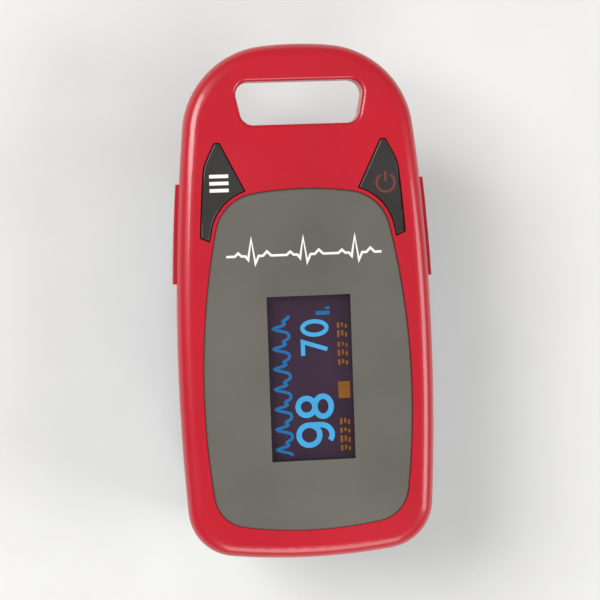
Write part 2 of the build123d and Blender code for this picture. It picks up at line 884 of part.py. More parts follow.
# ---------------------------------------------------------------- lower hull
slope_start = hinge_y + pin_radius / 2
slope_fall = math.tan(math.radians(squeeze_angle))


def below_slope(y, depth=0.0):
    """Height on the slope behind the hinge, or this deep under it."""
    level = lower_rim - (y - slope_start) * slope_fall
    return level - depth / math.cos(math.radians(squeeze_angle))


def slope_slab(top_depth, bottom_depth, start, end, half):
    """A slab parallel to the slope, between two depths under it."""
    points = [
        (start, below_slope(start, top_depth)),
        (end, below_slope(end, top_depth)),
        (end, below_slope(end, bottom_depth)),
        (start, below_slope(start, bottom_depth)),
    ]
    return across(points, half)


squeeze_wedge = slope_slab(-body_height, 0, slope_start, rear_y, body_width)


def hull_form(wall):
    """The lower hull as a solid, smaller by wall on every side but its rim."""
    with BuildPart() as form:
        with BuildSketch(Plane.XY.offset(wall)):
            add(shell_plan(wall, frame_rear, hull_corner_round, hull_corner_round))
        extrude(amount=lower_rim - wall)
        fillet(form.faces().sort_by(Axis.Z)[0].edges(), hull_bottom_round - wall)
    return form.part


def hull_inside(low, high):
    """A prism that drops inside the wall of the hull with a small gap."""
    with BuildPart() as prism:
        with BuildSketch(Plane.XY.offset(low)):
            add(shell_plan(hull_wall + fit_gap, frame_rear, hull_corner_round, hull_corner_round))
        extrude(amount=high - low)
    return prism.part


door_front = front_y + shell_inset + hull_bottom_round + door_gap
door_path = door_half + door_gap
tongue_bottom = hull_wall + door_gap + 2 * fit_gap
tongue_top = tongue_bottom + door_tongue_thickness
tongue_half = door_tongue_width / 2
tongue_front = door_front - door_tongue_reach

with BuildPart() as screw_posts:
    with BuildSketch():
        with Locations(*lower_screw_places):
            Circle(head_hole_radius + boss_wall / 2)
    extrude(amount=lower_post_top)
    add(hull_form(0), mode=Mode.INTERSECT)

with BuildPart() as bottom_cover:
    add(hull_form(0))
    add(hull_form(hull_wall), mode=Mode.SUBTRACT)
    add(screw_posts.part)
    with BuildSketch(Plane.XY.offset(hull_wall)):
        with Locations((0, (bay_front + bay_rear) / 2)):
            Rectangle(2 * (bay_half + bay_wall), bay_rear - bay_front + 2 * bay_wall)
            Rectangle(2 * bay_half, bay_rear - bay_front, mode=Mode.SUBTRACT)
    extrude(amount=bay_top - hull_wall)
    # everything that the battery door and its tongue slide through
    for region in (
        (door_path, door_front - door_gap, -1, hull_wall + door_gap),
        (door_path, bay_rear - bay_wall / 2, -1, tongue_top + door_gap),
        (door_path, bay_rear + bay_wall, -1, door_curl + door_gap),
        (tongue_half + door_gap, tongue_front - door_gap, hull_wall, tongue_top + door_gap),
    ):
        add(
            block((-region[0], region[0]), (region[1], rear_y), (region[2], region[3])),
            mode=Mode.SUBTRACT,
        )
    with BuildSketch(Plane.XY.offset(-cut_margin)):
        with Locations(*lower_screw_places):
            Circle(head_hole_radius)
    extrude(amount=lower_screw_seat + cut_margin, mode=Mode.SUBTRACT)
    with BuildSketch(Plane.XY.offset(-cut_margin)):
        with Locations(*lower_screw_places):
            Circle(screw_hole_radius)
    extrude(amount=lower_post_top + 2, mode=Mode.SUBTRACT)
    with BuildSketch(Plane.XY.offset(lower_post_top)):
        with Locations(*lower_screw_places):
            Circle(boss_radius + fit_gap)
    extrude(amount=body_height, mode=Mode.SUBTRACT)
    add(pad_form(fit_gap), mode=Mode.SUBTRACT)
    add(squeeze_wedge, mode=Mode.SUBTRACT)
write(bottom_cover.part, "bottom_cover")

with BuildPart() as battery_door:
    add(hull_form(0))
    add(hull_form(door_thickness), mode=Mode.SUBTRACT)
    add(block((-door_half, door_half), (door_front, rear_y), (-1, door_curl)), mode=Mode.INTERSECT)
    add(
        block(
            (-tongue_half, tongue_half),
            (door_front, door_front + door_tongue_root),
            (door_groove_depth, tongue_top),
        )
    )
    add(
        block(
            (-tongue_half, tongue_half),
            (tongue_front, door_front + door_tongue_root),
            (tongue_bottom, tongue_top),
        )
    )
    with BuildSketch():
        with Locations((0, door_front + door_groove_from_front)):
            with GridLocations(0, door_groove_pitch, 1, door_groove_count):
                SlotOverall(*door_groove)
    extrude(amount=door_groove_depth, mode=Mode.SUBTRACT)
write(battery_door.part, "battery_door")

# ---------------------------------------------------------------- lower frame
deck_bottom = lower_rim - deck_thickness
tray_half = pad_width / 2 + fit_gap + tray_wall
tray_rear = pad_rear + fit_gap + tray_wall
leg_pocket_half = upper_leg_x + spring_wire
leg_pocket_rear = hinge_y + spring_leg_length + 2 * knuckle_gap
leg_depth = (
    spring_inner_radius
    + spring_wire
    + (pin_radius / 2) * math.sin(math.radians(squeeze_angle))
    - (hinge_z - lower_rim) * math.cos(math.radians(squeeze_angle))
)
lower_board_y = (
    sensor_y - lower_board_ahead,
    max(bay_rear, hinge_y - wire_from_pin[0] + wire_bend) + fit_gap,
)
lower_board_top = tray_bottom + lower_board_thickness

with BuildPart() as lower_frame:
    add(hull_inside(deck_bottom, lower_rim))
    add(block((-tray_half, tray_half), (front_y, tray_rear), (tray_bottom, lower_rim)))
    add(hull_inside(tray_bottom, lower_rim), mode=Mode.INTERSECT)
    add(squeeze_wedge, mode=Mode.SUBTRACT)
    add(slope_slab(-cut_margin, body_height, slope_start, rear_y, body_width), mode=Mode.SUBTRACT)
    add(slope_slab(0, deck_thickness, slope_start - fit_gap, rear_y, body_width))
    add(
        slope_slab(
            0, leg_depth + spring_gap + tray_wall, hinge_y, leg_pocket_rear + tray_wall,
            leg_pocket_half + tray_wall,
        )
    )
    add(hull_inside(tray_bottom, lower_rim), mode=Mode.INTERSECT)
    with BuildSketch(Plane.XY.offset(lower_post_top)):
        with Locations(*lower_screw_places):
            Circle(boss_radius)
    extrude(amount=deck_bottom - lower_post_top)
    with BuildSketch(Plane.XY.offset(lower_post_top)):
        with Locations(*lower_screw_places):
            Circle(screw_radius)
    extrude(amount=lower_screw_length, mode=Mode.SUBTRACT)
    add(pad_form(fit_gap), mode=Mode.SUBTRACT)
    # bay for the spring and the cable, and a pocket for the lower leg
    add(
        block((-bay_half_width, bay_half_width), (tray_rear, bay_y[1]), (tray_bottom, body_height)),
        mode=Mode.SUBTRACT,
    )
    add(
        slope_slab(
            -cut_margin, leg_depth + spring_gap, bay_y[1] - cut_margin, leg_pocket_rear,
            leg_pocket_half,
        ),
        mode=Mode.SUBTRACT,
    )
    add(
        on_hinge(pin_radius + pin_clearance, -pin_room, pin_room),
        mode=Mode.SUBTRACT,
    )
    for side in (-1, 1):
        room = sorted((side * inner_knuckle[1], side * body_width / 2))
        knuckle = sorted((side * inner_knuckle[0], side * inner_knuckle[1]))
        add(
            block(
                room,
                (hinge_y - knuckle_radius - knuckle_gap, hinge_y + knuckle_radius + knuckle_gap),
                (hinge_z - knuckle_radius - knuckle_gap, body_height),
            ),
            mode=Mode.SUBTRACT,
        )
        add(on_hinge(knuckle_radius, *knuckle))
        add(
            block(
                knuckle,
                (hinge_y - knuckle_radius, hinge_y + knuckle_radius - knuckle_gap),
                (deck_bottom - deck_thickness, hinge_z - pin_radius),
            )
        )
        add(on_hinge(pin_radius, *knuckle), mode=Mode.SUBTRACT)
    # room for the lower board and its light sensor
    add(
        block(
            (lower_board_x[0] - fit_gap, lower_board_x[1] + fit_gap),
            (lower_board_y[0] - fit_gap, lower_board_y[1] + fit_gap),
            (tray_bottom - cut_margin, lower_board_top),
        ),
        mode=Mode.SUBTRACT,
    )
    add(
        block(
            (-emitter_half[0], emitter_half[0]),
            (sensor_y - emitter_half[1], sensor_y + emitter_half[1]),
            (tray_bottom, lower_pad_bottom + cut_margin),
        ),
        mode=Mode.SUBTRACT,
    )
write(lower_frame.part, "lower_frame")

write(block(lower_board_x, lower_board_y, (tray_bottom, lower_board_top)), "lower_board")
diode_half = (emitter_half[0] - fit_gap, emitter_half[1] - fit_gap)
write(
    block(
        (-diode_half[0], diode_half[0]),
        (sensor_y - diode_half[1], sensor_y + diode_half[1]),
        (lower_board_top, lower_board_top + diode_height),
    ),
    "light_sensor",
)

# ---------------------------------------------------------------- hinge pin, spring, cable
write(on_hinge(pin_radius, -pin_length / 2, pin_length / 2), "hinge_pin")

coil_outer = spring_inner_radius + spring_wire
slope_angle = math.radians(squeeze_angle)


def spring_leg(angle, rise):
    """Leg that leaves the coil level or tilted down by angle. rise is +1 above, -1 below."""
    along = Vector(math.cos(angle), -math.sin(angle))
    out = Vector(math.sin(angle), math.cos(angle)) * rise
    corners = [
        Vector(hinge_y, hinge_z) + out * spring_inner_radius,
        Vector(hinge_y, hinge_z) + out * coil_outer,
        Vector(hinge_y, hinge_z) + out * coil_outer + along * spring_leg_length,
        Vector(hinge_y, hinge_z) + out * spring_inner_radius + along * spring_leg_length,
    ]
    with BuildPart() as leg:
        with BuildSketch(Plane.YZ.offset(rise * upper_leg_x - spring_wire / 2)):
            with BuildLine():
                Polyline(*[(corner.X, corner.Y) for corner in corners], close=True)
            make_face()
        extrude(amount=spring_wire)
    return leg.part


with BuildPart() as torsion_spring:
    add(on_hinge(coil_outer, -spring_coil_length / 2, spring_coil_length / 2))
    add(spring_leg(0, 1))
    add(spring_leg(slope_angle, -1))
    add(
        on_hinge(spring_inner_radius, -spring_coil_length / 2, spring_coil_length / 2),
        mode=Mode.SUBTRACT,
    )
write(torsion_spring.part, "torsion_spring")

with BuildPart() as hinge_cable:
    for wire_x in wire_places:
        near, far = hinge_y - wire_from_pin[0], hinge_y - wire_from_pin[1]
        with BuildLine() as wire_path:
            FilletPolyline(
                (wire_x, near, lower_board_top),
                (wire_x, near, lower_board_top + wire_heights[0]),
                (wire_x, far, lower_board_top + wire_heights[1]),
                (wire_x, far, board_bottom),
                radius=wire_bend,
            )
        with BuildSketch(Plane.XY.offset(lower_board_top)):
            with Locations((wire_x, near)):
                Circle(wire_radius)
        sweep(path=wire_path.wire())
write(hinge_cable.part, "hinge_cable")


# ---------------------------------------------------------------- cells and contacts
def make_cell(side, turn):
    """A cell. turn is +1 with its nub to the lanyard end and -1 to the finger end."""
    tip = bay_rear - contact_thickness if turn > 0 else bay_front + contact_thickness
    with BuildPart() as cell:
        with BuildSketch(Plane.XZ.offset(-tip)):
            with Locations((side * cell_x, cell_z)):
                Circle(cell_nub_radius)
        extrude(amount=turn * cell_nub_length)
        with BuildSketch(Plane.XZ.offset(-tip + turn * cell_nub_length)):
            with Locations((side * cell_x, cell_z)):
                Circle(cell_radius)
        extrude(amount=turn * (cell_length - cell_nub_length))
    return cell.part


write(make_cell(-1, 1), "battery_left")
write(make_cell(1, -1), "battery_right")

plate_z = (tongue_top + 2 * door_gap, tray_bottom)
plate_x = (cell_gap * 2, bay_half - cell_gap)
rear_plate_y = (bay_rear - contact_thickness, bay_rear)
write(block((-plate_x[1], -plate_x[0]), rear_plate_y, plate_z), "positive_contact")
write(block(plate_x, rear_plate_y, plate_z), "negative_contact")
write(
    block(
        (-plate_x[1], plate_x[1]),
        (bay_front, bay_front + contact_thickness),
        (plate_z[0], bay_top),
    ),
    "link_contact",
)


def make_contact_spring(side, turn):
    """Cone of wire between a contact and the flat end of a cell."""
    wide = bay_front + contact_thickness if turn > 0 else bay_rear - contact_thickness
    narrow = wide + turn * (bay_rear - bay_front - 2 * contact_thickness - cell_length)
    inner = contact_spring_radius - spring_wire
    with BuildPart() as spring:
        with BuildSketch(Plane.XY.offset(cell_z)):
            with BuildLine():
                Polyline(
                    (side * cell_x + inner, wide),
                    (side * cell_x + contact_spring_radius, wide),
                    (side * cell_x + inner, narrow),
                    (side * cell_x + inner - spring_wire, narrow),
                    close=True,
                )
            make_face()
        revolve(axis=Axis((side * cell_x, 0, cell_z), (0, 1, 0)))
    return spring.part


with BuildPart() as contact_springs:
    add(make_contact_spring(-1, 1))
    add(make_contact_spring(1, -1))
write(contact_springs.part, "contact_springs")


# ---------------------------------------------------------------- screws
def make_screws(places, seat, length):
    """Pan-head screws that point up, with their heads under the seat."""
    with BuildPart() as screws:
        with BuildSketch(Plane.XY.offset(seat - screw_head_height)):
            with Locations(*places):
                Circle(screw_head_radius)
        extrude(amount=screw_head_height)
        with BuildSketch(Plane.XY.offset(seat - screw_head_height)):
            with Locations(*places):
                Rectangle(2 * screw_radius, cross_width)
                Rectangle(cross_width, 2 * screw_radius)
        extrude(amount=screw_head_height / 2, mode=Mode.SUBTRACT)
        with BuildSketch(Plane.XY.offset(seat)):
            with Locations(*places):
                Circle(screw_radius)
        extrude(amount=length)
    return screws.part


write(make_screws(screw_places, screw_seat_z, upper_screw_length), "upper_screws")
write(make_screws(lower_screw_places, lower_screw_seat, lower_screw_length), "lower_screws")
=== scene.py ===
# %% [markdown]
# # A fingertip pulse oximeter
# The clip is two halves on a hinge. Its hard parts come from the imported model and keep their
# shape; this file gives them their plastics, metals and rubber, and adds what is too fine for
# a CAD model: the lit picture on the display, the printed marks, and springs with real turns.
# We work in metres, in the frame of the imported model, so nothing has to be fitted.

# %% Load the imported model
import json
import math

import bpy
import numpy as np
from mathutils import Matrix, Vector


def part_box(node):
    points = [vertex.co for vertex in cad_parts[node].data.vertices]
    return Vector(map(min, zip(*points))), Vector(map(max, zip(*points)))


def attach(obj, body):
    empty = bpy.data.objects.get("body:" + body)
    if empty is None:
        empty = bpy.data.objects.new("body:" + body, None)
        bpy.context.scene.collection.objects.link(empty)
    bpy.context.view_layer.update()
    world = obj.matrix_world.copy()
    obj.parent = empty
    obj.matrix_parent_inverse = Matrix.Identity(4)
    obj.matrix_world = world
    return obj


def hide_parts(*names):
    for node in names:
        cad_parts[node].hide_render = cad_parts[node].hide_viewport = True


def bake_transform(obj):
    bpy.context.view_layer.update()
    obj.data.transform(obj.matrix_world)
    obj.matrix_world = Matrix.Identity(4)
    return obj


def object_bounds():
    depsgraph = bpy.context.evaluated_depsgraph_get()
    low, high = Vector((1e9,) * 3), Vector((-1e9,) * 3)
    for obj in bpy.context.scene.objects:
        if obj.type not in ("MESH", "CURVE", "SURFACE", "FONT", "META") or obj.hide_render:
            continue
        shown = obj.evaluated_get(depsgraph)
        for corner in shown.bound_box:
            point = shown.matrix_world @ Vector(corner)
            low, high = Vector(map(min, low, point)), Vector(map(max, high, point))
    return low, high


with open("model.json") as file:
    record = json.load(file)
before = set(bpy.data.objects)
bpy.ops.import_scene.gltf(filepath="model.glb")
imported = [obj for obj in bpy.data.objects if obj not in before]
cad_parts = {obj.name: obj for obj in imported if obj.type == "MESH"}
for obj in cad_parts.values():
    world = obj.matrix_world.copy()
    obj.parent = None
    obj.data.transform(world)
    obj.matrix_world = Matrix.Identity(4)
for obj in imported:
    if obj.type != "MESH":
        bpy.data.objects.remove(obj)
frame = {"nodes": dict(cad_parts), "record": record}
cad_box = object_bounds()
nodes = frame["nodes"]
MM = 0.001
print("nodes:", len(nodes), "box:", [[round(v, 4) for v in corner] for corner in cad_box])

# %% [markdown]
# ## Arithmetic on shader sockets
# A material is a formula, so we want to write it as one. `Wire` wraps an output socket and
# turns each operator into a Math node. Every other node comes from `Graph.node`, which sets
# the node's own settings first and then its inputs, whether they are wires or plain values.

# %% Sockets that take part in arithmetic
class Wire:
    """An output socket. Each sum, product or comparison adds one Math node to its graph."""

    def __init__(self, graph, socket):
        self.graph = graph
        self.socket = socket

    def math(self, operation, other=0.0):
        """One Math node with this value first and the other second."""
        return self.graph.node("ShaderNodeMath", {"operation": operation}, {0: self, 1: other})

    def __add__(self, other):
        return self.math("ADD", other)

    def __mul__(self, other):
        return self.math("MULTIPLY", other)

    def __truediv__(self, other):
        return self.math("DIVIDE", other)

    def __gt__(self, other):
        """1 where this value is the larger, else 0."""
        return self.math("GREATER_THAN", other)

    def __lt__(self, other):
        """1 where this value is the smaller, else 0."""
        return self.math("LESS_THAN", other)

    def fraction(self):
        """How far the value is past the whole number below it."""
        return self.math("FRACT")

    __radd__ = __add__
    __rmul__ = __mul__


class Graph:
    """The node tree of one material."""

    def __init__(self, name):
        self.material = bpy.data.materials.new(name)
        self.material.use_nodes = True
        self.tree = self.material.node_tree
        self.tree.nodes.clear()

    def node(self, kind, settings, inputs, output=0):
        """A new node of this kind, and one of its outputs as a wire."""
        made = self.tree.nodes.new(kind)
        for key, value in settings.items():
            setattr(made, key, value)
        for key, value in inputs.items():
            if isinstance(value, Wire):
                self.tree.links.new(value.socket, made.inputs[key])
            else:
                made.inputs[key].default_value = value
        return Wire(self, made.outputs[output]) if made.outputs else None

    def finish(self, shader):
        """Close the graph with its shader and give back the material."""
        self.node("ShaderNodeOutputMaterial", {}, {"Surface": shader})
        return self.material


def srgb(code):
    """A colour written as six hex digits, in the linear values that Blender works in.

    Above 0.04045 each part c turns into ((c + 0.055) / 1.055) ** 2.4, and below it into c / 12.92.
    """
    parts = [int(code[i : i + 2], 16) / 255 for i in (0, 2, 4)]
    linear = [c / 12.92 if c <= 0.04045 else ((c + 0.055) / 1.055) ** 2.4 for c in parts]
    return (*linear, 1.0)


def shade(colour, factor):
    """The same colour, lighter or darker by a factor."""
    return (*[min(1.0, c * factor) for c in colour[:3]], 1.0)


# %% [markdown]
# ## Patterns that several finishes share
# Moulded plastic is never one flat colour: the pigment drifts a little, a fine texture from
# the mould breaks the highlight up, and handling leaves soft smears that only show as a change
# in gloss. Each of these is noise at its own scale, read from Object coordinates in metres.

# %% Drift, grain and smears
def place(graph):
    """Position on the object in metres."""
    return graph.node("ShaderNodeTexCoord", {}, {}, "Object")


def apart(graph, vector):
    """The x, y and z of a vector as three wires."""
    first = graph.node("ShaderNodeSeparateXYZ", {}, {0: vector})
    return [Wire(graph, socket) for socket in first.socket.node.outputs]


def noise(graph, per_metre, detail=2.0, where=None):
    """Noise around 0.5 with this many blobs to the metre."""
    where = where or place(graph)
    return graph.node(
        "ShaderNodeTexNoise", {}, {"Vector": where, "Scale": per_metre, "Detail": detail}
    )


def blend_colours(graph, factor, first, second):
    """First colour where the factor is 0, second where it is 1.

    A Mix node has a set of sockets for each kind of value; those for colours are inputs 6 and 7
    and output 2.
    """
    return graph.node(
        "ShaderNodeMix", {"data_type": "RGBA"}, {0: factor, 6: first, 7: second}, output=2
    )


def spread(graph, value, low, high):
    """Noise stretched so that its middle range runs from low to high by a smooth step."""
    return graph.node(
        "ShaderNodeMapRange",
        {"interpolation_type": "SMOOTHSTEP"},
        {"Value": value, "From Min": 0.3, "From Max": 0.7, "To Min": low, "To Max": high},
    )


def bump(graph, height, depth):
    """A normal that is pushed about by a height pattern, depth in metres."""
    return graph.node(
        "ShaderNodeBump", {}, {"Height": height, "Distance": depth, "Strength": 1.0}
    )


def moulded(name, code, rough, grain, depth, drift=0.10, metal=0.0, coat=0.0, smear=0.06):
    """Moulded or painted plastic: drifting pigment, a mould texture, smears in the gloss.

    `grain` is how many bumps of the mould texture fit in a metre, and `depth` their depth in
    metres. `drift` is the share by which the colour drifts, and `smear` the change in roughness.
    """
    graph = Graph(name)
    base = srgb(code)
    tint = spread(graph, noise(graph, 55.0, 3.0), 0.0, 1.0)
    colour = blend_colours(graph, tint, shade(base, 1.0 - drift), shade(base, 1.0 + drift / 2))
    texture = noise(graph, grain)
    smears = spread(graph, noise(graph, 70.0, 1.5), -smear, smear)
    speckle = spread(graph, texture, -smear / 3, smear / 3)
    shader = graph.node(
        "ShaderNodeBsdfPrincipled",
        {},
        {
            "Base Color": colour,
            "Roughness": rough + smears + speckle,
            "Metallic": metal,
            "Coat Weight": coat,
            "Coat Roughness": 0.06,
            "Normal": bump(graph, texture, depth),
        },
    )
    return graph.finish(shader)


# %% The plastics and the rubber
red_gloss = moulded("crimson_gloss", "b8041f", 0.32, 900.0, 4e-6, drift=0.06, coat=0.4, smear=0.03)
plate_satin = moulded("warm_grey_satin", "605c55", 0.44, 4200.0, 16e-6, drift=0.08, smear=0.1)
button_satin = moulded("charcoal_satin", "2a2826", 0.38, 4200.0, 7e-6, drift=0.12)
light_silver = moulded("light_silver", "c3c8ce", 0.34, 6500.0, 4e-6, metal=0.45, coat=0.3)
blue_silver = moulded("blue_silver", "8b99a8", 0.36, 6500.0, 4e-6, metal=0.45, coat=0.3)
silicone = moulded("dark_silicone", "26272b", 0.62, 2600.0, 12e-6, drift=0.14, smear=0.1)
foam = moulded("black_foam", "121212", 0.85, 7000.0, 30e-6, drift=0.2)
chip_black = moulded("moulded_chip", "1b1b1e", 0.55, 8000.0, 8e-6, drift=0.15)
ribbon_amber = moulded("amber_ribbon", "a8681c", 0.3, 1500.0, 4e-6, coat=0.4)
wire_red = moulded("red_insulation", "9c1a1a", 0.4, 1500.0, 5e-6, coat=0.2)
print("materials so far:", len(bpy.data.materials))

# %% [markdown]
# ## Metals, glass, boards and cells
# The springs and screws are drawn or turned metal, so their gloss is streaked along one
# direction. The window is smoked acrylic: mostly clear, with a little of its own colour, and
# glossier than anything else here. The boards carry copper under a green mask, which shows as
# slightly lighter tracks. The cells wear a printed sleeve, left plain here but for one band.

# %% Streaked metals
def stretched(graph, along, across):
    """Object position scaled so that noise is drawn out along x."""
    return graph.node(
        "ShaderNodeVectorMath",
        {"operation": "MULTIPLY"},
        {0: place(graph), 1: (along, across, across)},
    )


def streaked_metal(name, code, rough):
    """Bare metal with fine streaks and a few dull patches."""
    graph = Graph(name)
    streaks = noise(graph, 1.0, 3.0, where=stretched(graph, 350.0, 9000.0))
    patches = spread(graph, noise(graph, 420.0, 3.0), 0.0, 1.0)
    base = srgb(code)
    shader = graph.node(
        "ShaderNodeBsdfPrincipled",
        {},
        {
            "Base Color": blend_colours(graph, patches, shade(base, 0.84), base),
            "Metallic": 1.0,
            "Roughness": rough + spread(graph, streaks, -0.08, 0.08),
            "Normal": bump(graph, streaks, 3e-6),
        },
    )
    return graph.finish(shader)


steel = streaked_metal("spring_steel", "c2c4c6", 0.28)
nickel = streaked_metal("plated_contact", "d8d2c2", 0.22)
print("metals:", steel.name, nickel.name)

# %% Smoked acrylic and the optical windows
def smoked(name, code, alpha, rough):
    """Clear plastic with a tint: part of the light goes straight through it."""
    graph = Graph(name)
    haze = spread(graph, noise(graph, 240.0, 3.0), -0.02, 0.03)
    base = srgb(code)
    tint = blend_colours(graph, spread(graph, noise(graph, 90.0), 0, 1), shade(base, 0.9), base)
    shader = graph.node(
        "ShaderNodeBsdfPrincipled",
        {},
        {
            "Base Color": tint,
            "Roughness": rough + haze,
            "Alpha": alpha,
            "Coat Weight": 0.4,
            "Coat Roughness": 0.03,
        },
    )
    return graph.finish(shader)


window_smoke = smoked("smoked_acrylic", "1d1719", alpha=0.30, rough=0.06)
lens_clear = smoked("optical_window", "5a1c1c", alpha=0.55, rough=0.12)
print("clear plastics:", window_smoke.name, lens_clear.name)

# %% The display's own glass and its light
DOT_PITCH = 0.17 * MM
DOT_SHARE = 0.82


def dot_gaps(graph):
    """1 in the dark gaps between the rows and columns of dots, 0 on the dots."""
    x, y, _ = apart(graph, place(graph))
    gap_x = (x / DOT_PITCH).fraction() > DOT_SHARE
    gap_y = (y / DOT_PITCH).fraction() > DOT_SHARE
    return gap_x.math("MAXIMUM", gap_y)


def display_glass():
    """Violet-grey glass with the faint grid of unlit dots in it, which the window darkens."""
    graph = Graph("display_glass")
    gaps = dot_gaps(graph)
    cloud = spread(graph, noise(graph, 120.0), 0.0, 1.0)
    dots = blend_colours(graph, cloud, srgb("6a4468"), srgb("7a5478"))
    shader = graph.node(
        "ShaderNodeBsdfPrincipled",
        {},
        {
            "Base Color": blend_colours(graph, gaps, dots, srgb("3d2b3f")),
            "Roughness": 0.16 + 0.05 * cloud,
            "Coat Weight": 0.3,
            "Coat Roughness": 0.05,
        },
    )
    return graph.finish(shader)


def lit_dots(name, code, strength):
    """Glowing dots: the emission dims in the gaps and drifts slightly over the panel."""
    graph = Graph(name)
    gaps = dot_gaps(graph)
    drift = spread(graph, noise(graph, 300.0), 0.0, 1.0)
    base = srgb(code)
    glow = blend_colours(graph, drift, shade(base, 0.86), base)
    shader = graph.node(
        "ShaderNodeBsdfPrincipled",
        {},
        {
            "Base Color": shade(base, 0.3),
            "Roughness": 0.5 + 0.1 * drift,
            "Emission Color": blend_colours(graph, gaps, glow, shade(base, 0.55)),
            "Emission Strength": strength,
        },
    )
    return graph.finish(shader)


screen_glass = display_glass()
glow_cyan = lit_dots("cyan_dots", "4cc0ff", 2.4)
glow_blue = lit_dots("blue_dots", "1490e0", 1.6)
glow_amber = lit_dots("amber_dots", "b87416", 1.5)
print("display:", screen_glass.name, glow_cyan.name, glow_blue.name, glow_amber.name)

# %% Boards, cells and printed marks
TRACK_CELLS = 620.0  # to the metre
TRACK_WIDTH = 0.06  # as a share of a cell
BAND_START, BAND_END = -22 * MM, -12 * MM


def solder_mask():
    """Green mask over copper: lighter and a little raised where a track runs below."""
    graph = Graph("solder_mask")
    tracks = graph.node(
        "ShaderNodeTexVoronoi",
        {"feature": "DISTANCE_TO_EDGE"},
        {"Vector": place(graph), "Scale": TRACK_CELLS},
    )
    on_track = tracks < TRACK_WIDTH
    shader = graph.node(
        "ShaderNodeBsdfPrincipled",
        {},
        {
            "Base Color": blend_colours(graph, on_track, srgb("0f4a2c"), srgb("2a7a44")),
            "Roughness": 0.32 + 0.12 * noise(graph, 900.0),
            "Coat Weight": 0.3,
            "Normal": bump(graph, on_track, 8e-6),
        },
    )
    return graph.finish(shader)


def cell_sleeve():
    """A shrunk sleeve: graphite with a copper band near one end, glossy and a little wavy."""
    graph = Graph("cell_sleeve")
    _, y, _ = apart(graph, place(graph))
    band = (y > BAND_START) * (y < BAND_END)
    waves = noise(graph, 500.0)
    shader = graph.node(
        "ShaderNodeBsdfPrincipled",
        {},
        {
            "Base Color": blend_colours(graph, band, srgb("2d3238"), srgb("b4763c")),
            "Roughness": 0.22 + 0.1 * waves,
            "Metallic": 0.25,
            "Coat Weight": 0.6,
            "Normal": bump(graph, waves, 1.5e-5),
        },
    )
    return graph.finish(shader)


board_green = solder_mask()
cell_wrap = cell_sleeve()
white_ink = moulded("white_ink", "e9e7e2", 0.45, 4000.0, 3e-6, drift=0.04)
red_ink = moulded("dull_red_ink", "6e2a22", 0.5, 4000.0, 3e-6, drift=0.1)
print("all materials:", len(bpy.data.materials))

# %% [markdown]
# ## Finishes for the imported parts
# The record names a slot for every node, and we give each slot one finish. The objects keep
# their meshes; only what is in their material slots changes.

# %% Give every node its finish
finish_of_slot = {
    "red_cover": red_gloss,
    "plate": plate_satin,
    "clear": window_smoke,
    "screen": screen_glass,
    "foam": foam,
    "flex": ribbon_amber,
    "board": board_green,
    "chip": chip_black,
    "button": button_satin,
    "light_silver": light_silver,
    "silver": blue_silver,
    "pad": silicone,
    "lens": lens_clear,
    "steel": steel,
    "nickel": nickel,
    "wire": wire_red,
    "cell": cell_wrap,
}
slot_of_node = {part["node"]: part["material_slot"] for part in frame["record"]["subparts"]}
for name, node in nodes.items():
    for material_slot in node.material_slots:
        material_slot.material = finish_of_slot[slot_of_node[name]]
print("finished nodes:", len(nodes))

# %% [markdown]
# ## Profiles carried along a path
# A printed line, a lit stroke and a wire are all the same thing: a small outline carried along
# a path. `carry` does it for whole arrays at once and closes the ends of an open path, so every
# stroke and wire is a closed solid.

# %% Carry a profile along a path
SHARPEST = 0.35


def unit(vectors):
    """Each row divided by its length."""
    return vectors / np.linalg.norm(vectors, axis=-1, keepdims=True)


def ring_faces(rings, around, joined=False):
    """Four-sided faces between neighbouring rings of points, and from the last to the first."""
    ring = np.arange(rings if joined else rings - 1)[:, None]
    spot = np.arange(around)[None]
    next_ring, next_spot = (ring + 1) % rings, (spot + 1) % around
    corners = [
        ring * around + spot,
        next_ring * around + spot,
        next_ring * around + next_spot,
        ring * around + next_spot,
    ]
    return np.stack(corners, axis=-1).reshape(-1, 4).tolist()


def carry(path, profile, up, joined=False):
    """Vertices and faces of a profile carried along a path.

    At each point the path's direction is the mean of the directions in and out. The profile's
    first axis is direction x up, its second axis is across both. At a corner the first axis
    grows by 1 / cos(half the turn), so that a stroke keeps its width round the corner, but to no
    more than 1 / SHARPEST. With `joined` the path's last point leads back to its first.
    """
    path = np.asarray(path, float)
    if joined:
        onward = unit(np.roll(path, -1, axis=0) - path)
        arriving = np.roll(onward, 1, axis=0)
    else:
        steps = unit(np.diff(path, axis=0))
        onward = np.vstack([steps, steps[-1:]])
        arriving = np.vstack([steps[:1], steps])
    ahead = unit(onward + arriving)
    stretch = 1.0 / np.maximum(SHARPEST, np.sum(ahead * onward, axis=1))
    side = unit(np.cross(ahead, up))
    lift = np.cross(side, ahead)
    rings = (
        path[:, None]
        + profile[None, :, :1] * (side * stretch[:, None])[:, None]
        + profile[None, :, 1:] * lift[:, None]
    )
    count, around = len(path), len(profile)
    faces = ring_faces(count, around, joined)
    if not joined:
        faces.append(list(range(around)))
        faces.append(list(range(count * around - 1, (count - 1) * around - 1, -1)))
    return rings.reshape(-1, 3), faces


def round_profile(radius, sides=16):
    """A circle: radius times the cosine and the sine of the angle."""
    angle = np.linspace(0, 2 * np.pi, sides, endpoint=False)
    return radius * np.stack([np.cos(angle), np.sin(angle)], axis=1)


def flat_profile(width, thickness):
    """A rectangle, anticlockwise from its lower left corner."""
    half = np.array([width, thickness]) / 2
    return half * np.array([(-1, -1), (1, -1), (1, 1), (-1, 1)])


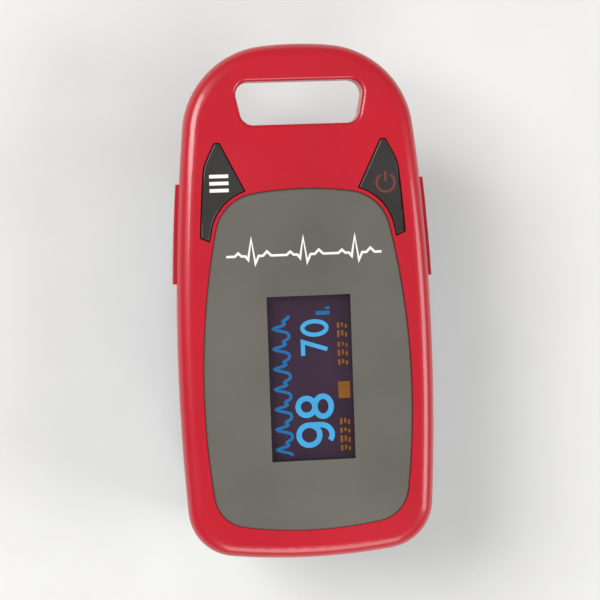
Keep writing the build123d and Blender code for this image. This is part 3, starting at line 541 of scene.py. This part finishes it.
def make_object(name, parts, material, smooth):
    """One object from several lists of vertices and faces."""
    vertices, faces, start = [], [], 0
    for part_vertices, part_faces in parts:
        vertices.append(part_vertices)
        faces += [[index + start for index in face] for face in part_faces]
        start += len(part_vertices)
    mesh = bpy.data.meshes.new(name)
    mesh.from_pydata(np.vstack(vertices).tolist(), [], faces)
    mesh.polygons.foreach_set("use_smooth", np.full(len(mesh.polygons), smooth))
    mesh.materials.append(material)
    mesh.update()
    made = bpy.data.objects.new(name, mesh)
    bpy.context.scene.collection.objects.link(made)
    print(name, "faces:", len(mesh.polygons))
    return made


def make_piece(name, parts, material, smooth=False):
    """An object that belongs to the clip, made just as make_object makes it."""
    piece = make_object(name, parts, material, smooth)
    return piece


# %% [markdown]
# ## The picture on the display
# The display sits sideways: its lines read towards the lanyard loop. It shows a pulse wave,
# two readings and a column of amber status marks. On the real part this is light from dots
# behind the smoked window, so each stroke is a thin glowing solid lying on the panel's glass.

# %% Strokes in the display's own directions
UP = (0.0, 0.0, 1.0)
STROKE_THICKNESS = 0.02 * MM
STROKE_STEP = 0.003 * MM
LIT_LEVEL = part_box("oled_panel")[1][2] + 0.6 * STROKE_THICKNESS
GLYPH_HEIGHT = 1.5


def on_display(along, above, base, start, level):
    """Points of a line on the display, from millimetres to metres.

    `along` is the reading direction, to +y from `start`. `above` is towards the tops of the
    letters, to -x from `base`.
    """
    along, above = np.asarray(along, float), np.asarray(above, float)
    height = np.full_like(along, level)
    return np.stack([(base - above) * MM, (start + along) * MM, height], axis=1)


def oval(centre, radii, start, stop, count=25):
    """Points of an ellipse arc: centre plus radius times cosine, and radius times sine."""
    angle = np.radians(np.linspace(start, stop, count))
    return centre[0] + radii[0] * np.cos(angle), centre[1] + radii[1] * np.sin(angle)


def ring_stroke(centre, radii):
    """A whole oval as one joined stroke. Its last point stays one step short of its first."""
    return *oval(centre, radii, 0, 345), True


def strokes_of(numeral):
    """The strokes of a numeral in a box 1 wide and GLYPH_HEIGHT high, each joined or not."""
    if numeral == "9":
        tail_x, tail_y = oval((0.5, 0.5), (0.5, 0.5), 0, -125, 13)
        stem = (np.concatenate([[1.0], tail_x]), np.concatenate([[1.0], tail_y]), False)
        return [ring_stroke((0.5, 1.03), (0.5, 0.47)), stem]
    if numeral == "8":
        return [ring_stroke((0.5, 1.12), (0.42, 0.38)), ring_stroke((0.5, 0.37), (0.5, 0.37))]
    if numeral == "7":
        return [([0.0, 1.0, 0.42], [GLYPH_HEIGHT, GLYPH_HEIGHT, 0.0], False)]
    return [ring_stroke((0.5, 0.75), (0.48, 0.75))]


def numerals(text, base, start, width, height, gap, stroke):
    """Every stroke of a reading, numeral by numeral along the reading direction.

    Each stroke lies a little higher than the one before, so that crossing strokes don't share
    a surface.
    """
    parts = []
    profile = flat_profile(stroke * MM, STROKE_THICKNESS)
    for order, numeral in enumerate(text):
        offset = order * (width + gap)
        for xs, ys, joined in strokes_of(numeral):
            along = offset + np.asarray(xs) * width
            above = np.asarray(ys) / GLYPH_HEIGHT * height
            level = LIT_LEVEL + len(parts) * STROKE_STEP
            parts.append(carry(on_display(along, above, base, start, level), profile, UP, joined))
    return parts


# %% The pulse wave and the two readings
BEATS = 7
WAVE_LENGTH, WAVE_HEIGHT, WAVE_STROKE = 20.2, 2.2, 0.42

# One beat is a tall bump and a lower one after it, each exp(-((time - middle) / width) ** 2).
time = np.linspace(0, 1, 28, endpoint=False)
one_beat = np.exp(-(((time - 0.32) / 0.15) ** 2)) + 0.38 * np.exp(-(((time - 0.66) / 0.12) ** 2))
wave_along = np.linspace(0, WAVE_LENGTH, BEATS * len(time))
wave_above = WAVE_HEIGHT * np.tile(one_beat, BEATS)
wave_path = on_display(wave_along, wave_above, base=-2.45, start=-22.0, level=LIT_LEVEL)
wave = [carry(wave_path, flat_profile(WAVE_STROKE * MM, STROKE_THICKNESS), UP)]
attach(make_piece("pulse_wave", wave, glow_blue), "upper_clip")

large = numerals("98", base=3.3, start=-20.6, width=2.9, height=4.8, gap=1.2, stroke=0.78)
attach(make_piece("large_reading", large, glow_cyan), "upper_clip")
small = numerals("70", base=3.0, start=-7.7, width=2.0, height=3.5, gap=0.95, stroke=0.6)
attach(make_piece("small_reading", small, glow_cyan), "upper_clip")

# %% Amber status marks and the signal bar
def block(low, high):
    """A flat block between two corners in the plane of the display, sizes in millimetres."""
    middle = (low[0] + high[0]) / 2 * MM
    path = [(middle, end[1] * MM, LIT_LEVEL) for end in (low, high)]
    return carry(path, flat_profile((high[0] - low[0]) * MM, STROKE_THICKNESS), UP)


signal = [block((1.5, -1.9), (3.5, -1.35)), block((2.9, -1.1), (3.5, -0.75))]
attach(make_piece("signal_bar", signal, glow_blue), "upper_clip")

# The small print beside the readings is three rows of dashes, with one solid block among them.
# Each row has its two edges, how late its dashes start and the share of the length they reach.
dash_rows = ((4.5, 4.85, 0.0, 1.0), (5.1, 5.4, 0.2, 1.0), (5.65, 5.95, 0.0, 0.7))
dash_starts = (-21.6, -20.4, -19.0, -17.8, -9.2, -7.9, -6.6, -5.2, -3.9)
dash_lengths = (0.8, 1.0, 0.7, 0.9, 0.8, 0.9, 0.7, 1.0, 0.8)
status = [block((4.4, -14.0), (6.1, -11.6))]
for start, length in zip(dash_starts, dash_lengths):
    for left, right, late, share in dash_rows:
        status.append(block((left, start + late), (right, start + share * length)))
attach(make_piece("status_marks", status, glow_amber), "upper_clip")

# %% [markdown]
# ## Printed marks
# The plate carries a fine white pulse trace, and each crescent button a symbol that any such
# button could have: three bars for the menu, and a broken ring with a bar for power. They are
# ink, so they are only a few hundredths of a millimetre thick.

# %% The pulse trace on the plate
plate_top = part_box("face_plate")[1][2]
button_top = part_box("mode_button")[1][2]
INK = 0.03 * MM
THIN_LINE = 0.34
TRACE_Y = 6.9
REPEATS = 3


def printed(xs, ys, width, top):
    """A line of ink on a level surface, points in millimetres, half sunk into the surface."""
    xs, ys = np.asarray(xs, float) * MM, np.asarray(ys, float) * MM
    path = np.stack([xs, ys, np.full_like(xs, top)], axis=1)
    return carry(path, flat_profile(width * MM, INK), UP)


beat_x = np.array([0, 1.2, 1.7, 2.2, 2.7, 3.1, 3.6, 4.1, 4.6, 5.2, 5.8, 6.4, 7.4])
beat_y = np.array([0, 0, 0.45, 0, 0, -0.5, 2.4, -1.1, 0, 0, 0.6, 0, 0])
period = beat_x[-1]
trace_x = np.concatenate([beat_x[:-1] + period * k for k in range(REPEATS)] + [[period * REPEATS]])
trace_y = np.concatenate([np.tile(beat_y[:-1], REPEATS), beat_y[-1:]])
trace = [printed(trace_x - period * REPEATS / 2, TRACE_Y + trace_y, THIN_LINE, plate_top)]
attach(make_piece("pulse_trace", trace, white_ink), "upper_clip")

# %% Symbols on the two buttons
BAR_ENDS = (-13.1, -10.4)
BAR_HEIGHTS = (16.3, 17.3, 18.3)
BAR_WIDTH = 0.5
RING_CENTRE, RING_RADIUS = (12.0, 16.7), 1.3
RING_OPENING = (55, 125)  # degrees, round the top
STEM_ENDS = (16.9, 18.3)

bars = [printed(BAR_ENDS, (y, y), BAR_WIDTH, button_top) for y in BAR_HEIGHTS]
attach(make_piece("menu_symbol", bars, white_ink), "mode_key")

ring_start, ring_stop = RING_OPENING[1], RING_OPENING[0] + 360
ring = oval(RING_CENTRE, (RING_RADIUS, RING_RADIUS), ring_start, ring_stop, 29)
power = [
    printed(*ring, THIN_LINE, button_top),
    printed((RING_CENTRE[0], RING_CENTRE[0]), STEM_ENDS, THIN_LINE, button_top),
]
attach(make_piece("power_symbol", power, red_ink), "power_key")

# %% [markdown]
# ## Springs with real turns
# The imported model keeps a spring as a plain sleeve, which is enough for weight and contact.
# Here it is a wire wound on a helix. The hinge spring is a torsion spring whose legs press the
# two halves shut; it is drawn at rest, as one fixed shape. The cells are held by two conical
# springs.

# %% A wire wound round a line
def middle_of(node):
    """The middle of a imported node's box."""
    low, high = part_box(node)
    return (low + high) / 2


def winding(turns, radii, reach, start=0.0, steps_per_turn=28):
    """Distance along the line, and two distances across it, for a conical helix.

    The angle grows evenly over all the turns, while the radius and the distance along the
    line change in step from their first value to their second.
    """
    count = int(turns * steps_per_turn) + 1
    angle = start + np.linspace(0, turns * 2 * np.pi, count)
    radius = np.linspace(*radii, count)
    return np.linspace(*reach, count), radius * np.cos(angle), radius * np.sin(angle)


# %% The hinge spring
WIRE = 0.39 * MM  # the wire's radius
COIL = 1.75 * MM  # the coil's radius, to the middle of the wire
COIL_END = 4.2 * MM
LEG = 6.5 * MM
SLOPE = math.radians(24)

# The wire comes in level over the top of the coil on the +x side, and leaves it on the -x side
# after nine turns and a half less the slope, backwards and down along the lower half.
hinge_turns = 9.5 - SLOPE / (2 * math.pi)
along, back, rise = winding(hinge_turns, (COIL, COIL), (COIL_END, -COIL_END), math.pi / 2)
hinge = middle_of("hinge_pin")
coil = np.stack([along, hinge.y + back, hinge.z + rise], axis=1)
upper_end = coil[0] + [0, LEG, 0]
lower_end = coil[-1] + [0, LEG * math.cos(SLOPE), -LEG * math.sin(SLOPE)]
hinge_path = np.vstack([upper_end, coil, lower_end])
hinge_spring = make_piece(
    "hinge_spring_wire",
    [carry(hinge_path, round_profile(WIRE), (1.0, 0.0, 0.0))],
    steel,
    smooth=True,
)
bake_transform(hinge_spring)
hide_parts("torsion_spring")

# %% The two battery springs
WIDE, NARROW = 2.8 * MM, 2.0 * MM
BATTERY_TURNS = 4.5


def battery_spring(cell, wide_y, flat_y):
    """A cone of wire from a contact to the flat end of a cell, clear of both by a little."""
    inward = math.copysign(1.2 * WIRE, flat_y - wide_y)
    reach = (wide_y + inward, flat_y - inward)
    along, across, rise = winding(BATTERY_TURNS, (WIDE, NARROW), reach)
    middle = middle_of(cell)
    path = np.stack([middle.x + across, along, middle.z + rise], axis=1)
    return carry(path, round_profile(WIRE, 12), (0.0, 1.0, 0.0))


springs_low, springs_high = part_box("contact_springs")
contact_wires = make_piece(
    "battery_spring_wires",
    [
        battery_spring("battery_left", springs_low[1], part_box("battery_left")[0][1]),
        battery_spring("battery_right", springs_high[1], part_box("battery_right")[1][1]),
    ],
    nickel,
    smooth=True,
)
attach(contact_wires, "lower_clip")
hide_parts("contact_springs")

# %% [markdown]
# ## The hinge cable
# Three thin wires carry power and the sensor's signal past the hinge pin. Close to the pin they
# hardly move, so a short slack bend is all that they need. Each is one smooth curve between
# the boards, drawn in one fixed shape.

# %% Three wires past the pin
WIRE_COVER = 0.34 * MM  # radius over the insulation
WIRE_PITCH = 0.9 * MM
WIRE_SWAY = 0.12 * MM
cable_low, cable_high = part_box("hinge_cable")


def slack_wire(x):
    """Up from board to board, and across by a smooth step (3t^2 - 2t^3).

    Sideways it sways once each way, by a sine.
    """
    t = np.linspace(0, 1, 41)
    step = t * t * (3 - 2 * t)
    near, far = cable_high[1] - WIRE_COVER, cable_low[1] + WIRE_COVER
    sideways = x + WIRE_SWAY * np.sin(2 * np.pi * t)
    across = near + (far - near) * step
    upwards = cable_low[2] + (cable_high[2] - cable_low[2]) * t
    path = np.stack([sideways, across, upwards], axis=1)
    return carry(path, round_profile(WIRE_COVER, 12), (1.0, 0.0, 0.0))


wires = [slack_wire(middle_of("hinge_cable").x + k * WIRE_PITCH) for k in (-1, 0, 1)]
cable = make_piece("hinge_wires", wires, wire_red, smooth=True)
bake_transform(cable)
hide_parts("hinge_cable")
print("cable height:", cable_high[2] - cable_low[2])

# %% [markdown]
# ## Floor, light and camera
# A pale matt floor, three large soft lamps and a grey sky give soft shading with long, gentle
# highlights in the gloss. The camera looks almost straight down on the face of the clip.

# %% Floor
FLOOR_GAP = 0.1 * MM


def floor_dish(level, flat=0.7, bend=0.5, spokes=96):
    """A level disc whose rim rises in a quarter circle, as rings of points and their faces.

    Out to `flat` the height is `level`. Past it the distance grows by bend times the sine of
    an angle and the height by bend times one less its cosine, from none to a quarter turn.
    """
    turn = np.linspace(0, np.pi / 2, 17)
    distance = np.concatenate([[0.05, 0.3], flat + bend * np.sin(turn)])
    height = level + np.concatenate([[0.0, 0.0], bend * (1 - np.cos(turn))])
    angle = np.linspace(0, 2 * np.pi, spokes, endpoint=False)
    x = distance[:, None] * np.cos(angle)
    y = distance[:, None] * np.sin(angle)
    points = np.stack([x, y, np.broadcast_to(height[:, None], x.shape)], axis=-1)
    return points.reshape(-1, 3), [list(range(spokes)), *ring_faces(len(distance), spokes)]


floor_finish = moulded("pale_board", "dddcd9", 0.8, 700.0, 1e-5, drift=0.02)
floor = make_object("floor", [floor_dish(cad_box[0][2] - FLOOR_GAP)], floor_finish, smooth=True)

# %% Lamps and sky
CLIP_MIDDLE = (0.0, 0.0, 0.02)


def aimed(location, target, up):
    """The turn that points -z from a place to a target with y kept towards `up`."""
    back = (Vector(location) - Vector(target)).normalized()
    right = Vector(up).cross(back).normalized()
    upward = back.cross(right)
    turn = Matrix((right, upward, back)).transposed().to_4x4()
    return Matrix.Translation(location) @ turn


def lamp(name, location, size, watts):
    """A square soft lamp aimed at the middle of the clip."""
    data = bpy.data.lights.new(name, "AREA")
    data.size = size
    data.energy = watts
    light = bpy.data.objects.new(name, data)
    light.matrix_world = aimed(location, CLIP_MIDDLE, UP)
    bpy.context.scene.collection.objects.link(light)


lamp("soft_left", (-0.38, 0.22, 0.5), size=0.35, watts=5.0)
lamp("soft_right", (0.45, -0.1, 0.4), size=0.3, watts=2.2)
lamp("soft_front", (0.05, -0.5, 0.35), size=0.3, watts=1.6)

sky = bpy.data.worlds.new("sky")
sky.use_nodes = True
sky_light = sky.node_tree.nodes["Background"].inputs
sky_light["Color"].default_value = (0.92, 0.94, 0.97, 1)
sky_light["Strength"].default_value = 0.45
bpy.context.scene.world = sky
print("lamps:", [light.name for light in bpy.data.lights])

# %% Camera
LENS = 100.0  # millimetres
DISTANCE = 0.245
LEAN_LEFT, LEAN_LOOP, ROLL = math.radians(6), math.radians(3), math.radians(2)

lens = bpy.data.cameras.new("camera")
lens.lens = LENS
camera = bpy.data.objects.new("camera", lens)
towards_camera = Vector((-math.sin(LEAN_LEFT), math.sin(LEAN_LOOP), 1.0)).normalized()
camera_place = Vector(CLIP_MIDDLE) + DISTANCE * towards_camera
camera.matrix_world = aimed(camera_place, CLIP_MIDDLE, (math.sin(ROLL), math.cos(ROLL), 0))

scene = bpy.context.scene
scene.collection.objects.link(camera)
scene.camera = camera
scene.view_settings.view_transform = "Standard"
scene.view_settings.exposure = -0.5
print("camera at:", [round(value, 4) for value in camera_place])
